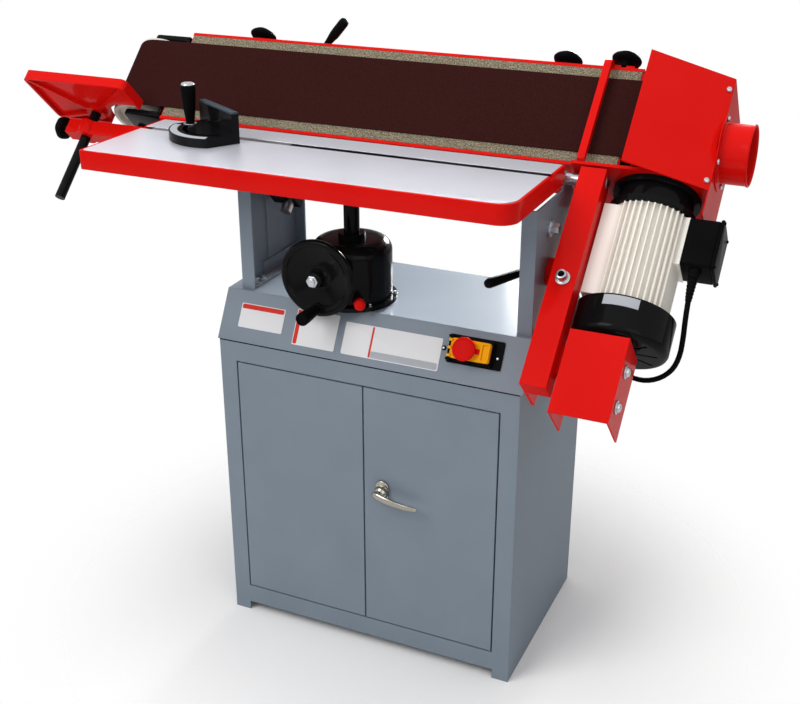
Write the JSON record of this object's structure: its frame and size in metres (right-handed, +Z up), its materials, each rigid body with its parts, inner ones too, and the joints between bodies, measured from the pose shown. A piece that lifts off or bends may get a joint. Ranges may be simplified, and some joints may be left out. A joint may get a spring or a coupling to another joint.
{
  "type": "edge sander",
  "caption": "Floor-standing oscillating edge belt sander: grey cabinet with doors, lifting work table with mitre gauge, red belt head leaning back on a tilt shaft, with motor and dust hood.",
  "frame": {"origin": "floor point under the middle of the whole part's box", "axes": "+X along the belt towards the dust port, +Y from the operator to the back, +Z up"},
  "size_m": [1.395, 0.5784, 1.1102],
  "materials": {
    "red_paint": "gloss enamel",
    "grey_paint": "satin enamel",
    "black_paint": "satin enamel",
    "black_plastic": "moulded",
    "bare_steel": "machined",
    "ground_iron": "ground",
    "chrome": "polished",
    "cast_aluminium": "cast, bare",
    "abrasive": "coated abrasive cloth",
    "graphite": "graphite-coated cloth",
    "yellow_plastic": "moulded",
    "red_plastic": "moulded",
    "green_plastic": "moulded",
    "rubber": "cable sheath"
  },
  "bodies": {
    "base": {"cabinet": "grey_paint", "console": "grey_paint", "upright_left": "grey_paint", "upright_right": "grey_paint", "lift_pot": "black_paint", "base_fasteners": "bare_steel", "switch_base": "black_plastic", "cable_gland": "black_plastic", "motor_cable": "rubber"},
    "left_door": {"door_left": "grey_paint"},
    "right_door": {"door_right": "grey_paint"},
    "latch": {"latch_handle": "chrome"},
    "lid": {"switch_lid": "yellow_plastic"},
    "mushroom": {"stop_mushroom": "red_plastic"},
    "start": {"start_button": "green_plastic"},
    "stop": {"stop_button": "red_plastic"},
    "lift": {"lift_column": "black_paint", "table_bracket": "black_paint", "table_frame": "red_paint", "table_top": "ground_iron", "slot_bridges": "bare_steel"},
    "gauge_bar": {"mitre_bar": "bare_steel"},
    "gauge_head": {"mitre_head": "black_paint"},
    "gauge_knob": {"mitre_knob": "black_plastic"},
    "wheel": {"handwheel": "black_plastic", "pinion_shaft": "bare_steel"},
    "grip": {"crank_grip": "black_plastic"},
    "lock": {"column_lock": "red_plastic"},
    "tilt": {"tilt_shaft": "bare_steel", "tilt_beam": "red_paint", "tilt_arm": "black_paint", "clamp_boss": "red_paint", "crank_guard": "red_paint", "tilt_screws": "bare_steel"},
    "tilt_lever": {"clamp_lever": "black_plastic"},
    "head": {"platen_frame": "red_paint", "platen_pad": "graphite", "sanding_belt": "abrasive", "guide_rods": "bare_steel", "stop_strap": "red_paint", "motor_body": "cast_aluminium", "end_shield": "black_paint", "fan_cover": "black_paint", "terminal_box": "black_plastic", "dust_hood": "red_paint", "dust_port": "red_paint", "head_screws": "bare_steel", "worm_box": "black_paint"},
    "knob_strap": {"strap_knob": "black_plastic"},
    "knob_left": {"cover_knob_left": "black_plastic"},
    "knob_right": {"cover_knob_right": "black_plastic"},
    "belt_lever": {"tension_lever": "black_plastic"},
    "fork": {"idler_fork": "black_paint"},
    "idler": {"idler_drum": "cast_aluminium"},
    "drive": {"drive_drum": "black_paint", "motor_rotor": "bare_steel"},
    "crank": {"crank_disc": "bare_steel"},
    "small_table": {"aux_post": "black_paint", "aux_table": "red_paint"},
    "small_knob": {"aux_knob": "black_plastic"}
  },
  "joints": [
    {"name": "left_door_hinge", "type": "hinge", "parent": "base", "child": "left_door", "pos_m": [-0.1215, -0.17397, 0.3], "axis": [0, 0, -1], "range_deg": [0, 110]},
    {"name": "right_door_hinge", "type": "hinge", "parent": "base", "child": "right_door", "pos_m": [0.3765, -0.17397, 0.3], "axis": [0, 0, 1], "range_deg": [0, 110]},
    {"name": "latch_turn", "type": "hinge", "parent": "right_door", "child": "latch", "pos_m": [0.1655, -0.19097, 0.346], "axis": [0, 1, 0], "range_deg": [0, 90]},
    {"name": "lid_hinge", "type": "hinge", "parent": "base", "child": "lid", "pos_m": [0.2855, -0.16509, 0.64605], "axis": [0, -0.4847, -0.8747], "range_deg": [0, 100]},
    {"name": "mushroom_press", "type": "slide", "parent": "lid", "child": "mushroom", "axis": [0, 0.8747, -0.4847], "range_m": [0, 0.002], "stiffness_N_per_m": 400},
    {"name": "start_press", "type": "slide", "parent": "base", "child": "start", "axis": [0, 0.8747, -0.4847], "range_m": [0, 0.003], "stiffness_N_per_m": 400},
    {"name": "stop_press", "type": "slide", "parent": "base", "child": "stop", "axis": [0, 0.8747, -0.4847], "range_m": [0, 0.003], "stiffness_N_per_m": 400},
    {"name": "table_lift", "type": "slide", "parent": "base", "child": "lift", "axis": [0, 0, 1], "range_m": [0, 0.1]},
    {"name": "gauge_slide", "type": "slide", "parent": "lift", "child": "gauge_bar", "axis": [1, 0, 0], "range_m": [-0.02, 0.48]},
    {"name": "gauge_swivel", "type": "hinge", "parent": "gauge_bar", "child": "gauge_head", "pos_m": [-0.2125, -0.05997, 0.94], "axis": [0, 0, 1], "range_deg": [-106, 0]},
    {"name": "gauge_lock", "type": "hinge", "parent": "gauge_bar", "child": "gauge_knob", "pos_m": [-0.2745, -0.05997, 0.98], "axis": [0, 0, 1], "range_deg": [-180, 180]},
    {"name": "wheel_turn", "type": "hinge", "parent": "base", "child": "wheel", "pos_m": [0.038, -0.16497, 0.732], "axis": [0, -1, 0], "range_deg": [0, 480]},
    {"name": "grip_turn", "type": "hinge", "parent": "wheel", "child": "grip", "pos_m": [0.038, -0.19897, 0.677], "axis": [0, 1, 0], "continuous": true},
    {"name": "lock_turn", "type": "hinge", "parent": "base", "child": "lock", "pos_m": [0.10623, -0.14629, 0.691], "axis": [0.5592, -0.829, 0], "range_deg": [0, 180]},
    {"name": "head_tilt", "type": "hinge", "parent": "base", "child": "tilt", "pos_m": [0.1375, 0.02403, 0.904], "axis": [1, 0, 0], "range_deg": [0, 45], "deforming": ["motor_cable"]},
    {"name": "tilt_clamp", "type": "hinge", "parent": "tilt", "child": "tilt_lever", "pos_m": [0.3965, -0.04809, 0.76116], "axis": [-1, 0, 0], "range_deg": [0, 45]},
    {"name": "oscillation", "type": "slide", "parent": "tilt", "child": "head", "axis": [0, 0.7071, 0.7071], "range_m": [-0.005, 0.005]},
    {"name": "strap_knob_turn", "type": "hinge", "parent": "head", "child": "knob_strap", "pos_m": [0.4585, 0.19798, 1.06946], "axis": [0, 0.7071, 0.7071], "range_deg": [-180, 180]},
    {"name": "left_knob_turn", "type": "hinge", "parent": "head", "child": "knob_left", "pos_m": [-0.2685, 0.20364, 1.06381], "axis": [0, 0.7071, 0.7071], "range_deg": [-180, 180]},
    {"name": "right_knob_turn", "type": "hinge", "parent": "head", "child": "knob_right", "pos_m": [0.3525, 0.20364, 1.06381], "axis": [0, 0.7071, 0.7071], "range_deg": [-180, 180]},
    {"name": "belt_slack", "type": "slide", "parent": "head", "child": "fork", "axis": [1, 0, 0], "range_m": [0, 0.006]},
    {"name": "belt_lever_turn", "type": "hinge", "parent": "head", "child": "belt_lever", "pos_m": [-0.1415, 0.21141, 1.04896], "axis": [0, 0.7071, 0.7071], "range_deg": [0, 91]},
    {"name": "idler_spin", "type": "hinge", "parent": "fork", "child": "idler", "pos_m": [-0.4945, 0.15485, 0.94996], "axis": [0, 0.7071, 0.7071], "continuous": true},
    {"name": "drive_spin", "type": "hinge", "parent": "head", "child": "drive", "pos_m": [0.5585, 0.15485, 0.94996], "axis": [0, 0.7071, 0.7071], "continuous": true},
    {"name": "crank_spin", "type": "hinge", "parent": "head", "child": "crank", "pos_m": [0.5415, -0.17962, 0.67207], "axis": [0, 0.7071, -0.7071], "continuous": true},
    {"name": "small_table_lift", "type": "slide", "parent": "head", "child": "small_table", "axis": [0, 0.7071, 0.7071], "range_m": [0, 0.1]},
    {"name": "small_knob_turn", "type": "hinge", "parent": "head", "child": "small_knob", "pos_m": [-0.6425, 0.03464, 0.88208], "axis": [1, 0, 0], "range_deg": [-180, 180]}
  ],
  "couplings": [
    {"joint": "wheel_turn", "follows": "table_lift", "rad_per_m": 83.333},
    {"joint": "belt_lever_turn", "follows": "belt_slack", "rad_per_m": 261.8},
    {"joint": "idler_spin", "follows": "drive_spin", "ratio": 1},
    {"joint": "crank_spin", "follows": "drive_spin", "ratio": 0.033333}
  ]
}
